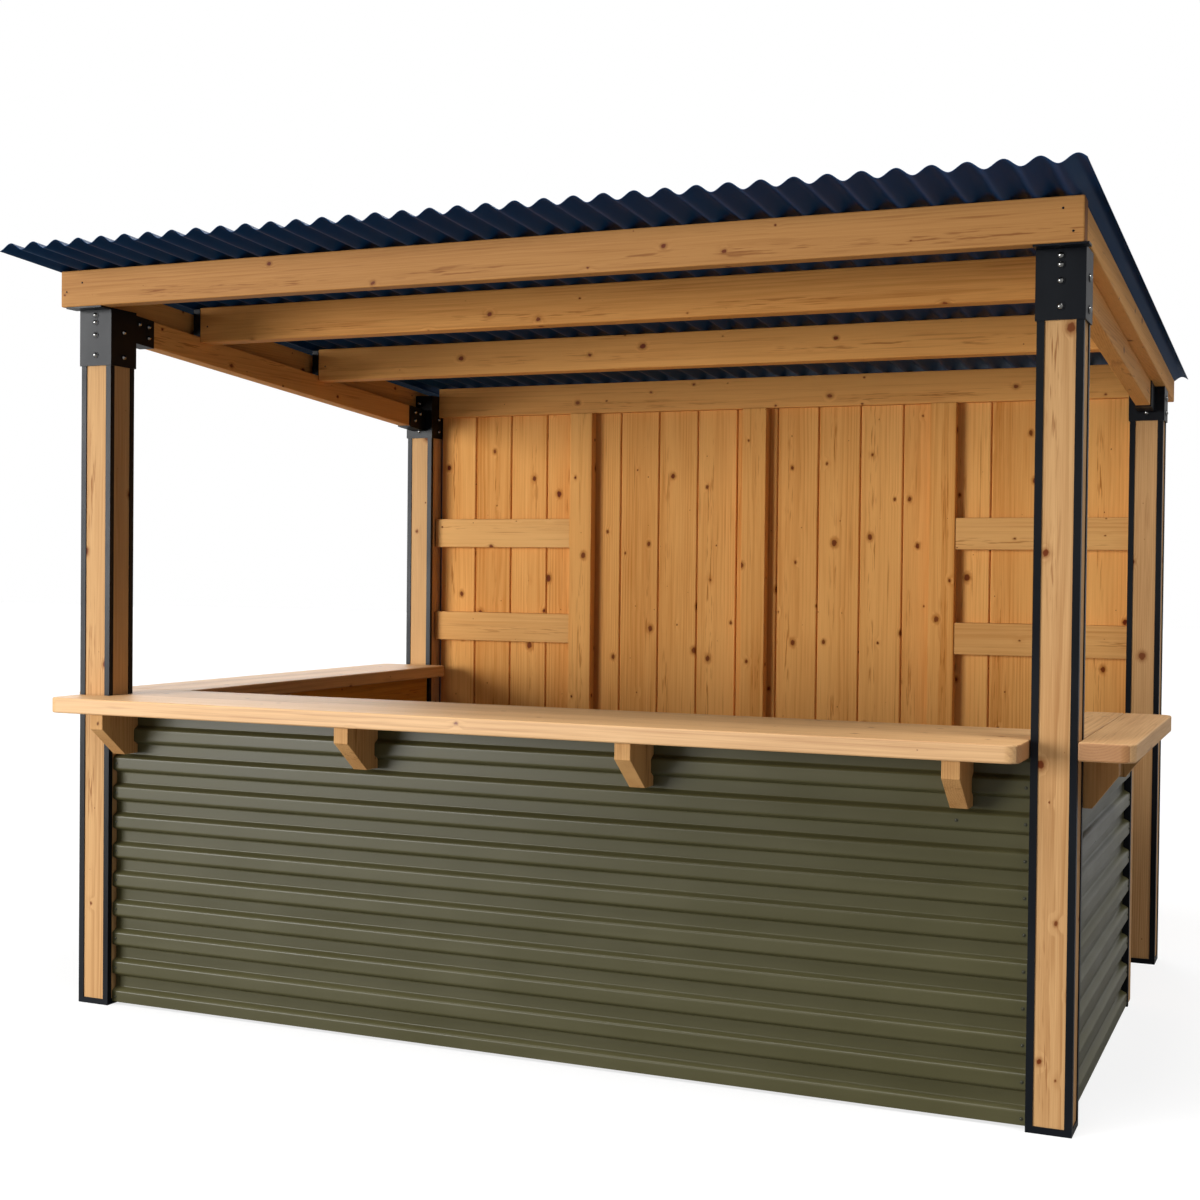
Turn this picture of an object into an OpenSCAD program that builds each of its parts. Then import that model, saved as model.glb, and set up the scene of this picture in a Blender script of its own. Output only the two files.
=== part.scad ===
// Open timber market stall: four trimmed posts, a low mono-pitch corrugated roof,
// clad half walls, serving counters on corbels and a boarded back wall.
// Units are millimetres, +X runs to the right of the serving front, +Y to the back.

/* [Overall] */
// Width over the outer faces of the posts
stall_w = 2970; // [2600:10:3600]
// Depth over the outer faces of the posts
stall_d = 2100; // [1800:10:2400]
// Height of the underside of the front beam
front_clear_h = 2120; // [2060:5:2300]
// Fall of the roof from front to back, in degrees
roof_pitch = 4; // [3:0.25:5]

/* [Posts] */
// Width of a square post over its steel corner trims
post_w = 110; // [100:1:120]
// Leg of a corner trim
trim_leg = 18; // [14:1:24]
// Thickness of a corner trim
trim_t = 3; // [2:0.5:4]
// Height of the steel shoe under a post
shoe_h = 17; // [12:1:25]
// Thickness of the shoe's base plate
shoe_base_t = 5; // [4:0.5:8]

/* [Brackets] */
// Thickness of the bracket plate
plate_t = 4; // [3:0.5:5]
// Height of the sleeve round a post top
sleeve_h = 168; // [150:1:190]
// Length of the arms that hold a beam end
arm_l = 125; // [90:5:150]
// Thickness of the seat plate under the front beam
seat_t = 5; // [4:0.5:8]
// Reach of the seat plate past the post's outer side
seat_ear = 16; // [8:1:24]
// Reach of a purlin hanger over the side beam
hanger_l = 25; // [15:1:35]
// Thickness of a purlin hanger
hanger_t = 3; // [2:0.5:4]
// Gap between a purlin hanger and the roof sheet
hanger_gap = 5; // [3:0.5:10]

/* [Roof timbers] */
// Thickness of the front beam
front_beam_t = 52; // [40:1:60]
// Height of the front beam at its back face
front_beam_h = 105; // [90:1:120]
// Distance from the front beam's back face to the post front
front_beam_gap = 5; // [4:1:8]
// Reach of the front beam past the left bracket
front_beam_left = 28; // [0:1:36]
// Reach of the front beam past the right bracket
front_beam_right = 2; // [0:1:36]
// Thickness of purlins and side beams
beam_t = 48; // [40:1:60]
// Height of purlins and the back beam
beam_h = 115; // [100:1:125]
// Distance from the post front to the first purlin
purlin_1_y = 480; // [400:10:700]
// Distance from the post front to the second purlin
purlin_2_y = 1190; // [1050:10:1350]
// Height of the side beams
side_beam_h = 82; // [70:1:110]
// Drop of the side beams below the roof sheet
side_beam_drop = 95; // [85:1:110]
// Thickness of the outer boards over the posts
outer_board_t = 42; // [30:1:46]
// Drop of the outer boards below the roof sheet
outer_board_drop = 15; // [8:1:25]
// Clearance of the outer boards over the side beams and the front seats
outer_board_clear = 2; // [1:0.5:4]
// Drop of the back posts' tops below the roof sheet
back_post_drop = 41; // [35:1:50]
// Reach of the outer boards past the back of the posts
outer_board_back = 220; // [150:10:300]

/* [Roof] */
// Overhang of the sheet in front of the posts
roof_front = 305; // [250:5:380]
// Overhang of the sheet behind the posts
roof_back = 350; // [300:5:450]
// Overhang of the sheet past the posts at each side
roof_side = 42; // [36:1:100]
// Corrugations in each of the three sheets, counted in halves
sheet_halves = 25; // [21:2:29]
// Depth of the corrugations
roof_rib_d = 20; // [15:0.5:24]
// Thickness of the steel sheets
sheet_t = 1.5; // [1:0.25:2]

/* [Counters] */
// Height of the counter tops
counter_z = 945; // [900:5:1000]
// Thickness of the counter planks
counter_t = 45; // [40:1:50]
// Overhang of the front counter in front of the posts
front_counter_out = 145; // [120:5:180]
// Reach of the front counter behind the post fronts
front_counter_in = 300; // [220:5:340]
// Overhang of the left counter outside the posts
left_counter_out = 100; // [80:5:130]
// Reach of the left counter inside the stall
left_counter_in = 180; // [150:5:280]
// Overhang of the right counter outside the posts
right_counter_out = 132; // [100:1:150]
// Distance from the post front to the back end of the right counter
right_counter_end = 965; // [800:5:1100]
// Radius of the counters' rounded corners in plan
counter_r = 36; // [20:1:44]
// Gap between a counter and the post beside it
counter_gap = 3; // [1:0.5:5]

/* [Corbels] */
// Thickness of a corbel
corbel_t = 45; // [40:1:60]
// Height of a corbel
corbel_h = 128; // [110:1:140]
// Height of a corbel's upright nose
corbel_nose = 45; // [30:1:60]
// Depth of a corbel's foot against the cladding
corbel_foot = 40; // [30:1:45]
// Set-back of the front and left corbels' noses from the counter's edge
corbel_back = 22; // [10:1:24]
// Set-back of the right corbels' noses from the counter's edge
right_corbel_back = 52; // [20:1:56]
// Distance from the left post to the middle of the first front corbel
corbel_first = 55; // [45:1:90]
// Distance from the right post to the middle of the last front corbel
corbel_last = 165; // [60:1:200]
// Number of corbels under the front counter
front_corbels = 4; // [3:1:5]
// Number of corbels under the left counter
left_corbels = 3; // [2:1:4]
// Number of corbels under the right counter
right_corbels = 2; // [2:1:3]

/* [Half walls] */
// Set-back of the cladding ribs from the outer face of the posts
clad_back = 22; // [15:1:26]
// Depth of the cladding ribs
clad_rib_d = 18; // [15:0.5:20]
// Number of ribs up a half wall
clad_ribs = 10; // [8:1:12]
// Gap between the cladding and the ground
clad_foot = 8; // [5:1:20]
// Thickness of the wall framing
stud_t = 42; // [40:1:45]
// Width of the wall framing's rails and studs
stud_w = 70; // [60:1:90]
// Thickness of the inner lining
lining_t = 16; // [12:1:18]
// Distance from the post front to the front of the entrance jamb
jamb_y = 1350; // [1150:10:1450]
// Width of the entrance jamb
jamb_w = 100; // [70:1:110]

/* [Back wall] */
// Number of boards across the back wall
back_boards = 17; // [14:1:20]
// Thickness of the back boards
back_board_t = 20; // [18:1:22]
// Width and depth of the grooves between back boards
groove = 5; // [3:0.5:6]
// Set-back of the boards from the back of the posts
back_set = 8; // [5:1:12]
// Width of the upright battens
batten_w = 95; // [80:1:110]
// Thickness of the upright battens
batten_t = 45; // [40:1:50]
// Spacing of the upright battens
batten_pitch = 720; // [600:5:750]
// Height of the shelf rails
rail_h = 115; // [90:1:120]
// Thickness of the shelf rails
rail_t = 40; // [30:1:40]
// Height of the underside of the lower shelf rails
rail_low_z = 1050; // [1020:5:1100]
// Height of the underside of the upper shelf rails
rail_high_z = 1430; // [1350:5:1450]

/* [Hidden] */
$fn = 48;
// Outermost reach past the posts on each side, which centres the stall on its bounding box
left_reach = max(roof_side, left_counter_out);
right_reach = max(roof_side, right_counter_out);
post_xl = (left_reach - right_reach) / 2 - stall_w / 2;
post_xr = post_xl + stall_w;
post_yf = (roof_front - roof_back - stall_d) / 2;
post_yb = post_yf + stall_d;
// Inner faces of the posts
in_xl = post_xl + post_w;
in_xr = post_xr - post_w;
in_yf = post_yf + post_w;
in_yb = post_yb - post_w;
core_w = post_w - 2 * trim_t;
// Heights of the two pairs of posts
front_post_h = front_clear_h - seat_t;
front_beam_yb = post_yf - front_beam_gap;
back_post_h = roof_z(in_yb) - back_post_drop;
// How far welded plates run into each other, and how far a cut runs past the face that it opens
weld = plate_t / 2;
over = 1;
// Counter and wall levels
counter_under = counter_z - counter_t;
clad_pitch = (counter_under - clad_foot) / clad_ribs;
clad_total = clad_rib_d + sheet_t;
// Share of a pitch that each flat of the cladding takes, and the phase at its bottom edge
clad_flat = 0.36;
clad_phase = 0.32;
// Phase of the top of a wave
crest = 0.5;
wall_frame_in = clad_back + clad_total;
wall_lining_in = wall_frame_in + stud_t;
wall_in = wall_lining_in + lining_t;
// Side beams stand in the middle of the posts
side_beam_in = (post_w - beam_t) / 2;
side_beam_xl = post_xl + side_beam_in;
side_beam_xr = post_xr - side_beam_in - beam_t;
// Outer boards, flush with the front beam's right end, and the drop of their undersides below the roof sheet
outer_board_out = plate_t + front_beam_right;
outer_board_xl = post_xl - outer_board_out;
outer_board_xr = post_xr + outer_board_out - outer_board_t;
seat_drop = front_beam_h - tan(roof_pitch) * (front_beam_gap + post_w + plate_t);
outer_board_under = min(side_beam_drop, seat_drop) - outer_board_clear;
// Back wall
back_face_y = post_yb - back_set - back_board_t;
back_beam_z = roof_z(post_yb - back_set) - beam_h;
wall_foot = 20;
// Roof sheets
roof_w = stall_w + 2 * roof_side;
sheet_w = roof_w / 3;
rib_pitch = sheet_w / (sheet_halves / 2);
rib_steps = 8;
sheet_l = (roof_front + stall_d + roof_back) / cos(roof_pitch);
wood = "#c8935a";
dark_wood = "#8a5a30";
counter_wood = "#d2a877";
black = "#1e2226";
olive = "#57533d";
navy = "#1c2a4a";

// Underside of the roof sheet at a distance y
function roof_z(y) = front_clear_h + front_beam_h - tan(roof_pitch) * (y - front_beam_yb);

// Box between two corners
module box(a, b) {
    translate(a) cube(b - a);
}

// Outline in the YZ plane carried from x0 to x1
module across(x0, x1) {
    translate([x0, 0, 0]) rotate([90, 0, 90]) linear_extrude(x1 - x0) children();
}

// Slab parallel to the roof between two drops below the sheet, with upright ends
module slope_slab(x0, x1, y0, y1, drop_top, drop_bottom) {
    across(x0, x1) polygon([
        [y0, roof_z(y0) - drop_bottom], [y1, roof_z(y1) - drop_bottom],
        [y1, roof_z(y1) - drop_top], [y0, roof_z(y0) - drop_top]
    ]);
}

// Beam with a level underside and a top that follows the roof
module capped_beam(x0, x1, y0, y1, z0) {
    across(x0, x1) polygon([[y0, z0], [y1, z0], [y1, roof_z(y1)], [y0, roof_z(y0)]]);
}

// Place at the outer corner of a post, with +X and +Y pointing into the stall
module at_post(right, back) {
    translate([right ? post_xr : post_xl, back ? post_yb : post_yf, 0])
        mirror([right ? 1 : 0, 0, 0]) mirror([0, back ? 1 : 0, 0]) children();
}

// Housing that the outer boards take out of the heads of the back posts
module board_housing() {
    for (x = [outer_board_xl, outer_board_xr])
        slope_slab(x - outer_board_clear, x + outer_board_t + outer_board_clear,
            in_yb - plate_t - over, post_yb + plate_t + over, 0, outer_board_under);
}

module post(right, back) {
    h = back ? back_post_h : front_post_h;
    color(wood) difference() {
        at_post(right, back) box([trim_t, trim_t, shoe_base_t], [trim_t + core_w, trim_t + core_w, h]);
        if (back) board_housing();
    }
}

// Steel angles on the four corners of the front or the back posts
module trims(back) {
    h = (back ? back_post_h : front_post_h) - shoe_h;
    color(black) difference() {
        for (right = [false, true]) at_post(right, back) translate([post_w / 2, post_w / 2, shoe_h])
            for (sx = [0, 1], sy = [0, 1]) mirror([sx, 0, 0]) mirror([0, sy, 0])
                translate([-post_w / 2, -post_w / 2, 0]) linear_extrude(h) polygon([
                    [0, 0], [trim_leg, 0], [trim_leg, trim_t],
                    [trim_t, trim_t], [trim_t, trim_leg], [0, trim_leg]
                ]);
        if (back) board_housing();
    }
}

// Steel cups under the posts
module shoes() {
    color(black) for (right = [false, true], back = [false, true]) at_post(right, back) difference() {
        cube([post_w, post_w, shoe_h]);
        box([trim_t, trim_t, shoe_base_t], [trim_t + core_w, trim_t + core_w, shoe_h + over]);
    }
}

// Steel sleeve round the top of a post
module sleeve(z0, z1) {
    difference() {
        box([-plate_t, -plate_t, z0], [post_w + plate_t, post_w + plate_t, z1]);
        box([0, 0, z0 - over], [post_w, post_w, z1 + over]);
    }
}

// Open channel that carries a side beam end
module side_arm(right, y0, y1) {
    x0 = right ? side_beam_xr : side_beam_xl;
    bottom = side_beam_drop + side_beam_h;
    for (x = [x0 - plate_t, x0 + beam_t]) slope_slab(x, x + plate_t, y0, y1, side_beam_drop, bottom);
    slope_slab(x0 - plate_t, x0 + beam_t + plate_t, y0, y1, bottom, bottom + plate_t);
}

module front_bracket(right) {
    color(black) union() {
        at_post(right, false) {
            sleeve(front_post_h - sleeve_h, front_post_h);
            box([-plate_t, -plate_t, front_post_h], [post_w + plate_t, post_w + plate_t, front_clear_h]);
            box([-seat_ear, -front_beam_gap - front_beam_t + seat_t, front_post_h],
                [post_w + plate_t, -front_beam_gap, front_clear_h]);
            box([0, -front_beam_gap - weld, front_post_h], [post_w, 0, front_clear_h]);
        }
        side_arm(right, in_yf + plate_t - weld, in_yf + plate_t + arm_l);
    }
}

module back_bracket(right) {
    x = right ? in_xr - plate_t - arm_l : in_xl + plate_t - weld;
    y0 = post_yb - back_set;
    color(black) difference() {
        union() {
            at_post(right, true) {
                sleeve(back_post_h - sleeve_h, back_post_h);
                box([-plate_t, -plate_t, back_post_h],
                    [post_w + plate_t, post_w + plate_t, back_post_h + plate_t]);
            }
            side_arm(right, in_yb - plate_t - arm_l, in_yb - plate_t + weld);
            box([x, y0, back_beam_z], [x + arm_l + weld, y0 + plate_t, back_post_h]);
        }
        board_housing();
    }
}

module front_beam() {
    color(wood) capped_beam(post_xl - plate_t - front_beam_left, post_xr + plate_t + front_beam_right,
        front_beam_yb - front_beam_t, front_beam_yb, front_clear_h);
}

module purlin(distance) {
    y = post_yf + distance;
    color(wood) slope_slab(side_beam_xl + beam_t, side_beam_xr, y, y + beam_t, 0, beam_h);
}

module back_beam() {
    color(wood) capped_beam(in_xl + plate_t, in_xr - plate_t,
        post_yb - back_set - beam_t, post_yb - back_set, back_beam_z);
}

// Folded steel cleats that stand on the side beams and hold the purlin ends
module purlin_hangers() {
    color(black) for (distance = [purlin_1_y, purlin_2_y], right = [false, true]) {
        y = post_yf + distance;
        x_end = right ? side_beam_xr : side_beam_xl + beam_t;
        x0 = right ? x_end : x_end - hanger_l;
        x_face = right ? x_end : x_end - hanger_t;
        union() {
            slope_slab(x0, x0 + hanger_l, y, y + beam_t, side_beam_drop - hanger_t, side_beam_drop);
            slope_slab(x_face, x_face + hanger_t, y, y + beam_t, hanger_gap, side_beam_drop);
            for (yc = [y, y + beam_t - hanger_t])
                slope_slab(x0, x0 + hanger_l, yc, yc + hanger_t, hanger_gap, side_beam_drop);
        }
    }
}

module side_beam(x) {
    color(wood) slope_slab(x, x + beam_t, in_yf + plate_t, in_yb - plate_t,
        side_beam_drop, side_beam_drop + side_beam_h);
}

module outer_board(x) {
    color(wood) slope_slab(x, x + outer_board_t, front_beam_yb, post_yb + outer_board_back,
        outer_board_drop, outer_board_under);
}

// Height of a rolled wave at phase 0 to 1, low at 0
function rolled(p) = (1 - cos(360 * p)) / 2;
// Height of a folded wave with flats at phase 0 to 1, low at 0
function folded(p) = let (q = abs((p % 1) - crest) / crest)
    q > 1 - clad_flat ? 0 : q < clad_flat ? 1 : (1 - clad_flat - q) / (1 - 2 * clad_flat);
// Phases of the folds between two ends
function folds(from, to) = let (f = clad_flat / 2) [
    from,
    for (i = [floor(from) : ceil(to)], k = [f, crest - f, crest + f, 1 - f])
        if (i + k > from && i + k < to) i + k,
    to
];
// Closed outline of a sheet along x from its lower line
function sheet_outline(line) = concat(line, [for (i = [len(line) - 1 : -1 : 0]) line[i] + [0, sheet_t]]);

// One of the three roof sheets, counted from the left
module roof_sheet(i) {
    from = i * sheet_halves / 2;
    y0 = post_yf - roof_front;
    color(navy) translate([post_xl - roof_side + i * sheet_w, y0, roof_z(y0)]) rotate([90 - roof_pitch, 0, 0])
        mirror([0, 0, 1]) linear_extrude(sheet_l) polygon(sheet_outline([
            for (k = [0 : sheet_halves * rib_steps / 2])
                [k * rib_pitch / rib_steps, roof_rib_d * rolled(from + k / rib_steps)]
        ]));
}

// Ribbed cladding that faces -Y, from x0 to x1, with the back of its ribs at y = 0
module cladding(x0, x1) {
    color(olive) translate([x0, 0, clad_foot]) rotate([0, -90, 0]) mirror([0, 0, 1]) linear_extrude(x1 - x0)
        mirror([0, 1, 0]) polygon(sheet_outline([
            for (p = folds(clad_phase, clad_phase + clad_ribs))
                [(p - clad_phase) * clad_pitch, clad_rib_d * folded(p)]
        ]));
}

// Half wall framing along +X: two rails and studs, thickness along +Y
module wall_frame(x0, x1, studs) {
    color(dark_wood) union() {
        for (z = [wall_foot, counter_under - stud_w]) box([x0, 0, z], [x1, stud_t, z + stud_w]);
        for (i = [0 : studs - 1]) {
            x = x0 + i * (x1 - x0 - stud_w) / (studs - 1);
            box([x, 0, wall_foot], [x + stud_w, stud_t, counter_under]);
        }
    }
}

// Carry a wall drawn along +X, facing -Y, to the front, left or right side of the stall
module on_front(back) {
    translate([0, post_yf + back, 0]) children();
}
module on_left(back) {
    translate([post_xl + back, 0, 0]) mirror([1, -1, 0]) children();
}
module on_right(back) {
    translate([post_xr - back, 0, 0]) mirror([1, 0, 0]) mirror([1, -1, 0]) children();
}
module lining(x0, x1) {
    color(dark_wood) box([x0, 0, wall_foot], [x1, lining_t, counter_under]);
}

module entrance_jamb() {
    color(wood) box([post_xr - wall_in, post_yf + jamb_y + trim_t, 0],
        [post_xr - clad_back, post_yf + jamb_y + jamb_w, counter_under]);
}

// Steel angle on the jamb's outer front corner, one leg closing the end of the half wall
module jamb_trim() {
    x = post_xr - clad_back;
    y = post_yf + jamb_y;
    color(black) union() {
        box([post_xr - wall_in, y, 0], [x + trim_t, y + trim_t, counter_under]);
        box([x, y, 0], [x + trim_t, y + trim_leg, counter_under]);
    }
}

// Plank with some of its plan corners rounded, listed as left-front, right-front, right-back, left-back
module plank(a, b, round) {
    r = counter_r;
    corners = [[a.x, a.y], [b.x, a.y], [b.x, b.y], [a.x, b.y]];
    inward = [[1, 1], [-1, 1], [-1, -1], [1, -1]];
    translate([0, 0, counter_under]) linear_extrude(counter_t) union() {
        difference() {
            translate(a) square(b - a);
            for (i = [0 : 3]) if (round[i]) translate(corners[i] + inward[i] * r / 2) square(r, center = true);
        }
        for (i = [0 : 3]) if (round[i]) intersection() {
            translate(corners[i] + inward[i] * r) circle(r);
            translate(corners[i] + inward[i] * r / 2) square(r, center = true);
        }
    }
}

// Front counter, notched round the left post
module front_counter() {
    color(counter_wood) difference() {
        union() {
            plank([post_xl, post_yf - front_counter_out],
                [in_xr - counter_gap, post_yf + front_counter_in], [true, true, false, false]);
            translate([post_xl - left_counter_out, in_yf + counter_gap, counter_under])
                cube([left_counter_out + post_w, front_counter_in - post_w - counter_gap, counter_t]);
        }
        translate([post_xl - over, post_yf - counter_gap, 0])
            cube([over + post_w + counter_gap, post_w + 2 * counter_gap, counter_z + over]);
    }
}

module left_counter() {
    color(counter_wood) plank([post_xl - left_counter_out, post_yf + front_counter_in],
        [post_xl + left_counter_in, in_yb], [false, false, false, true]);
}

module right_counter_outer() {
    color(counter_wood) plank([post_xr, post_yf],
        [post_xr + right_counter_out, post_yf + right_counter_end], [false, true, true, false]);
}

module right_counter_inner() {
    color(counter_wood) plank([in_xr, in_yf],
        [post_xr, post_yf + right_counter_end], [false, false, false, true]);
}

// Corbel that reaches out by the given depth, drawn facing -Y, its back scribed to the ribs of the cladding
module corbel(depth) {
    z = counter_under;
    foot = clad_phase + (z - corbel_h - clad_foot) / clad_pitch;
    color(wood) across(-corbel_t / 2, corbel_t / 2) polygon(concat(
        [[-depth, z], [-depth, z - corbel_nose], [-corbel_foot, z - corbel_h]],
        [for (p = folds(foot, clad_phase + clad_ribs))
            [clad_rib_d * (1 - folded(p)), clad_foot + (p - clad_phase) * clad_pitch]]
    ));
}

// Row of corbels from x0 to x1
module corbel_row(x0, x1, count, depth) {
    for (i = [0 : count - 1]) translate([x0 + i * (x1 - x0) / (count - 1), 0, 0]) corbel(depth);
}

module back_wall() {
    w = in_xr - in_xl - 2 * plate_t;
    pitch = w / back_boards;
    h = back_beam_z - wall_foot;
    color(wood) translate([in_xl + plate_t, back_face_y, wall_foot]) linear_extrude(h) polygon(concat(
        [[0, 0]],
        [for (i = [1 : back_boards - 1], k = [[-1, 0], [0, 1], [1, 0]])
            [i * pitch + k.x * groove / 2, k.y * groove]],
        [[w, 0], [w, back_board_t], [0, back_board_t]]
    ));
}

function batten_x(i) = (post_xl + post_xr) / 2 + (i - 1) * batten_pitch - batten_w / 2;

module back_battens() {
    color(wood) for (i = [0 : 2])
        box([batten_x(i), back_face_y - batten_t, wall_foot],
            [batten_x(i) + batten_w, back_face_y, back_beam_z]);
}

module shelf_rails() {
    color(wood) for (z = [rail_low_z, rail_high_z], x = [[in_xl, batten_x(0)], [batten_x(2) + batten_w, in_xr]])
        box([x[0], back_face_y - rail_t, z], [x[1], back_face_y, z + rail_h]);
}

post(false, false);  // post_front_left
post(true, false);  // post_front_right
post(false, true);  // post_back_left
post(true, true);  // post_back_right
trims(false);  // front_post_trims
trims(true);  // back_post_trims
shoes();
front_bracket(false);  // bracket_front_left
front_bracket(true);  // bracket_front_right
back_bracket(false);  // bracket_back_left
back_bracket(true);  // bracket_back_right
front_beam();
purlin(purlin_1_y);  // front_purlin
purlin(purlin_2_y);  // rear_purlin
back_beam();
purlin_hangers();
side_beam(side_beam_xl);  // left_side_beam
side_beam(side_beam_xr);  // right_side_beam
outer_board(outer_board_xl);  // left_outer_board
outer_board(outer_board_xr);  // right_outer_board
roof_sheet(0);  // roof_sheet_left
roof_sheet(1);  // roof_sheet_middle
roof_sheet(2);  // roof_sheet_right
on_front(clad_back + clad_total) cladding(in_xl, in_xr);  // front_cladding
on_left(clad_back + clad_total) cladding(in_yf, in_yb);  // left_cladding
on_right(clad_back + clad_total) cladding(in_yf, post_yf + jamb_y);  // right_cladding
on_front(wall_frame_in) wall_frame(in_xl, in_xr, 5);  // front_wall_frame
on_left(wall_frame_in) wall_frame(in_yf, in_yb, 4);  // left_wall_frame
on_right(wall_frame_in) wall_frame(in_yf, post_yf + jamb_y, 3);  // right_wall_frame
on_front(wall_lining_in) lining(in_xl, in_xr);  // front_lining
on_left(wall_lining_in) lining(in_yf, in_yb);  // left_lining
on_right(wall_lining_in) lining(in_yf, post_yf + jamb_y);  // right_lining
entrance_jamb();
jamb_trim();
front_counter();
left_counter();
right_counter_outer();
right_counter_inner();
on_front(clad_back) corbel_row(in_xl + corbel_first, in_xr - corbel_last, front_corbels,
        front_counter_out + clad_back - corbel_back);
on_left(clad_back) corbel_row(in_yf + corbel_t, in_yb - corbel_t, left_corbels,
        left_counter_out + clad_back - corbel_back);
on_right(clad_back) corbel_row(in_yf + corbel_t, post_yf + right_counter_end - 2 * corbel_t, right_corbels,
        right_counter_out + clad_back - right_corbel_back);
back_wall();
back_battens();
shelf_rails();
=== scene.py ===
import math
import random

import bmesh
import bpy
from mathutils import Matrix, Vector


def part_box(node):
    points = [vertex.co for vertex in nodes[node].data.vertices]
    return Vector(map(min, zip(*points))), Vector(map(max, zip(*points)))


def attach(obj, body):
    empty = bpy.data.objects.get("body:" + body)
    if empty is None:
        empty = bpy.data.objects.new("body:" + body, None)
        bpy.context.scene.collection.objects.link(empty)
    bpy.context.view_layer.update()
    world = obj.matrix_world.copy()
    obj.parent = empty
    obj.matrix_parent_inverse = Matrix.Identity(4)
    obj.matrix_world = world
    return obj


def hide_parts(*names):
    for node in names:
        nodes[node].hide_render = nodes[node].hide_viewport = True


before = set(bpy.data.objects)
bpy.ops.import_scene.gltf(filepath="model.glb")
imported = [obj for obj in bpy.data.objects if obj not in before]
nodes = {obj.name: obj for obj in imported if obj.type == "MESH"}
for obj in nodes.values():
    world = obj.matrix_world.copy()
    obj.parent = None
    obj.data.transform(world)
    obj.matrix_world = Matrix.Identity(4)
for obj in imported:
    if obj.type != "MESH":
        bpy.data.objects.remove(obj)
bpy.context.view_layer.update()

# Steel of the posts: shoes at the foot, angle trims on the corners, sleeves and arms at the head, and the
# purlins' cleats. Folded 3 to 5 mm mild steel, welded and powder coated in a fine blue-black.
# The trims are screwed to the timber, and the shoes stand on the ground.


def wire(tree, kind, inputs=None, **settings):
    """Add a node; inputs maps a socket's name or number to a value or to another node's output."""
    node = tree.nodes.new(kind)
    for key, value in settings.items():
        setattr(node, key, value)
    for key, value in (inputs or {}).items():
        if isinstance(value, bpy.types.NodeSocket):
            tree.links.new(value, node.inputs[key])
        else:
            node.inputs[key].default_value = value
    return node


def calc(tree, operation, *values):
    """Add a Math node and give its result."""
    return wire(tree, "ShaderNodeMath", dict(enumerate(values)), operation=operation).outputs[0]


def ramp(tree, value, start, end, low=0.0, high=1.0):
    """Ease a value from one range to another and give the result."""
    return wire(tree, "ShaderNodeMapRange", {0: value, 1: start, 2: end, 3: low, 4: high},
                interpolation_type="SMOOTHSTEP").outputs[0]


def blend(tree, amount, first, second):
    """Mix two colours and give the result."""
    return wire(tree, "ShaderNodeMix", {0: amount, 6: first, 7: second}, data_type="RGBA").outputs[2]


def cloud(tree, place, scale, detail=2.0):
    """Add a noise over a place and give its grey value."""
    return wire(tree, "ShaderNodeTexNoise", {"Vector": place, "Scale": scale, "Detail": detail}).outputs[0]


def stretched(tree, place, factors):
    """Multiply a place by one factor for each axis."""
    return wire(tree, "ShaderNodeVectorMath", {0: place, 1: factors}, operation="MULTIPLY").outputs[0]


def shader_group(name, takes, gives):
    """Start a shader node group, and give it with its inputs and outputs."""
    tree = bpy.data.node_groups.new(name, "ShaderNodeTree")
    for label, kind in takes:
        tree.interface.new_socket(label, in_out="INPUT", socket_type="NodeSocket" + kind)
    for label, kind in gives:
        tree.interface.new_socket(label, in_out="OUTPUT", socket_type="NodeSocket" + kind)
    return tree, tree.nodes.new("NodeGroupInput").outputs, tree.nodes.new("NodeGroupOutput").inputs


def fill(tree, out, results):
    """Connect a group's results to its outputs."""
    for label, value in results.items():
        tree.links.new(value, out[label])


coat, given, out = shader_group(
    "coated_sheet",
    [("Colour", "Color"), ("Worn", "Color"), ("Roughness", "Float"), ("Streak", "Vector")],
    [("Colour", "Color"), ("Roughness", "Float"), ("Height", "Float")])
place = wire(coat, "ShaderNodeTexCoord").outputs["Object"]
patches = cloud(coat, place, 4.0, 4.0)
streaks = cloud(coat, stretched(coat, place, given["Streak"]), 1.0, 3.0)
peel = cloud(coat, place, 420.0, 1.0)
weather = calc(coat, "MULTIPLY_ADD", streaks, 0.6, calc(coat, "MULTIPLY", patches, 0.4))
soiled = blend(coat, ramp(coat, weather, 0.38, 0.72, 0.0, 0.55), given["Colour"], given["Worn"])
fill(coat, out, {
    "Colour": soiled,
    "Roughness": calc(coat, "MULTIPLY_ADD", calc(coat, "SUBTRACT", weather, 0.5), 0.35, given["Roughness"]),
    "Height": peel,
})


def finish_from(look, name, values, gloss, bump, relief):
    """A finish that takes colour, roughness and relief from a shader group; give it with its group node."""
    finish = bpy.data.materials.new(name)
    finish.use_nodes = True
    tree = finish.node_tree
    shader = tree.nodes["Principled BSDF"]
    shader.inputs["Specular IOR Level"].default_value = gloss
    group = wire(tree, "ShaderNodeGroup", values, node_tree=look)
    tree.links.new(group.outputs["Colour"], shader.inputs["Base Color"])
    tree.links.new(group.outputs["Roughness"], shader.inputs["Roughness"])
    height = wire(tree, "ShaderNodeBump", {
        "Height": group.outputs["Height"], "Strength": bump, "Distance": relief})
    tree.links.new(height.outputs[0], shader.inputs["Normal"])
    return finish, group


def coated_steel(name, colour, worn, roughness, streak, bump, gloss=0.3):
    """A powder-coated steel with weather streaks that run by the given stretch."""
    values = {"Colour": colour, "Worn": worn, "Roughness": roughness, "Streak": streak}
    peel_relief = 0.0006
    return finish_from(coat, name, values, gloss, bump, peel_relief)[0]


def dress(node, finish):
    """Give a CAD node its finish."""
    nodes[node].data.materials.clear()
    nodes[node].data.materials.append(finish)


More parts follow.
